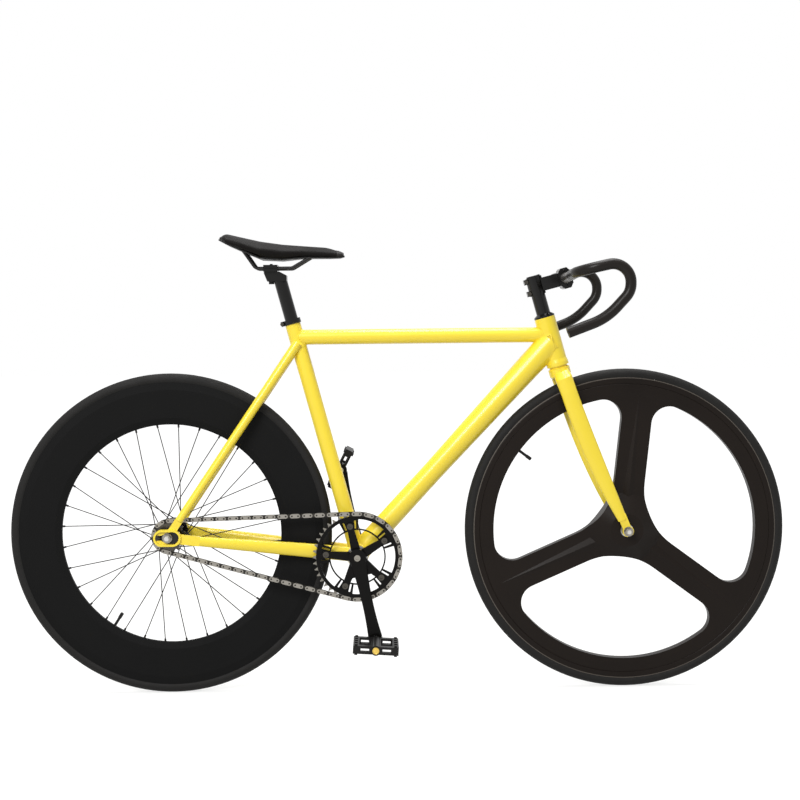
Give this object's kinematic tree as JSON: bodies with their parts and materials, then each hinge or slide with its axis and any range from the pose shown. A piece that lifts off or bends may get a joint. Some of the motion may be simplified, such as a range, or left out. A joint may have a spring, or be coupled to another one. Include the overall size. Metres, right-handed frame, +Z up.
{
  "type": "fixed gear bicycle",
  "caption": "fixed gear track bicycle with a yellow frame, drop bar, cast broad-spoke front wheel, deep black rear rim and a bare single-speed chain drive",
  "frame": {"origin": "on the ground, midway between the two wheels, in the bicycle's middle plane", "axes": "X points forward, Y to the rider's left, Z up; the chain is on the -Y side"},
  "size_m": [1.6129, 0.4414, 0.9531],
  "materials": {
    "frame_paint": "gloss",
    "black_alloy": "satin",
    "bar_alloy": "satin",
    "rear_rim_black": "matte",
    "wheel_casting_black": "satin",
    "tyre_rubber": "matte",
    "bar_wrap": "matte",
    "bearing_steel": "satin",
    "plated_steel": "polished",
    "chain_steel": "satin",
    "black_steel": "satin",
    "black_plastic": "satin",
    "saddle_cover": "satin"
  },
  "bodies": {
    "frame": {"head_tube": "frame_paint", "top_tube": "frame_paint", "down_tube": "frame_paint", "seat_tube": "frame_paint", "bottom_bracket_shell": "frame_paint", "chain_stay_right": "frame_paint", "chain_stay_left": "frame_paint", "seat_stay_right": "frame_paint", "seat_stay_left": "frame_paint", "dropout_right": "frame_paint", "dropout_left": "frame_paint", "headset_bearings": "bearing_steel", "bottom_bracket_cartridge": "bearing_steel", "seat_clamp": "black_alloy", "seat_clamp_bolt": "black_steel", "rear_axle": "bearing_steel", "rear_axle_nuts": "plated_steel", "chain": "chain_steel"},
    "fork": {"fork_steerer": "frame_paint", "fork_blade_right": "frame_paint", "fork_blade_left": "frame_paint", "headset_cover": "black_alloy", "headset_spacers": "black_alloy", "stem": "black_alloy", "stem_faceplate": "black_alloy", "stem_bolts": "black_steel", "top_cap": "black_alloy", "handlebar": "bar_alloy", "bar_tape_right": "bar_wrap", "bar_tape_left": "bar_wrap", "front_axle": "bearing_steel", "front_axle_nuts": "plated_steel"},
    "front_wheel": {"front_wheel_casting": "wheel_casting_black", "front_tyre": "tyre_rubber", "front_hub_bearings": "bearing_steel", "front_valve": "plated_steel"},
    "rear_wheel": {"rear_rim": "rear_rim_black", "rear_tyre": "tyre_rubber", "rear_hub": "black_alloy", "rear_spokes": "black_steel", "spoke_nipples": "black_steel", "rear_cog": "plated_steel", "cog_lockring": "plated_steel", "rear_hub_bearings": "bearing_steel", "rear_valve": "black_plastic"},
    "crank": {"crank_spindle": "bearing_steel", "crank_arm_right": "black_alloy", "crank_arm_left": "black_alloy", "chainring": "black_alloy", "chainring_bolts": "plated_steel", "crank_bolts": "plated_steel", "pedal_axles": "bearing_steel"},
    "right_pedal": {"pedal_right": "black_plastic"},
    "left_pedal": {"pedal_left": "black_plastic"},
    "saddle": {"seat_post": "black_alloy", "saddle_clamp_plates": "black_alloy", "saddle_clamp_bolt": "black_steel", "saddle_rails": "black_steel", "saddle_shell": "black_plastic", "saddle_pad": "saddle_cover"}
  },
  "joints": [
    {"name": "steering", "type": "hinge", "parent": "frame", "child": "fork", "pos_m": [0.33594, 0, 0.67539], "axis": [-0.2656, 0, 0.9641], "range_deg": [-60, 60]},
    {"name": "front_wheel_spin", "type": "hinge", "parent": "fork", "child": "front_wheel", "pos_m": [0.4725, 0, 0.334], "axis": [0, 1, 0], "continuous": true},
    {"name": "rear_wheel_spin", "type": "hinge", "parent": "frame", "child": "rear_wheel", "pos_m": [-0.4725, 0, 0.334], "axis": [0, 1, 0], "continuous": true, "deforming": ["chain"]},
    {"name": "crank_spin", "type": "hinge", "parent": "frame", "child": "crank", "pos_m": [-0.08576, 0, 0.287], "axis": [0, 1, 0], "continuous": true},
    {"name": "pedal_right_spin", "type": "hinge", "parent": "crank", "child": "right_pedal", "pos_m": [-0.0496, -0.119, 0.11833], "axis": [0, 1, 0], "continuous": true},
    {"name": "pedal_left_spin", "type": "hinge", "parent": "crank", "child": "left_pedal", "pos_m": [-0.12192, 0.119, 0.45567], "axis": [0, 1, 0], "continuous": true},
    {"name": "seat_post_height", "type": "slide", "parent": "frame", "child": "saddle", "axis": [-0.2588, 0, 0.9659], "range_m": [-0.06, 0.1]}
  ],
  "couplings": [
    {"joint": "crank_spin", "follows": "rear_wheel_spin", "ratio": 0.36364}
  ]
}
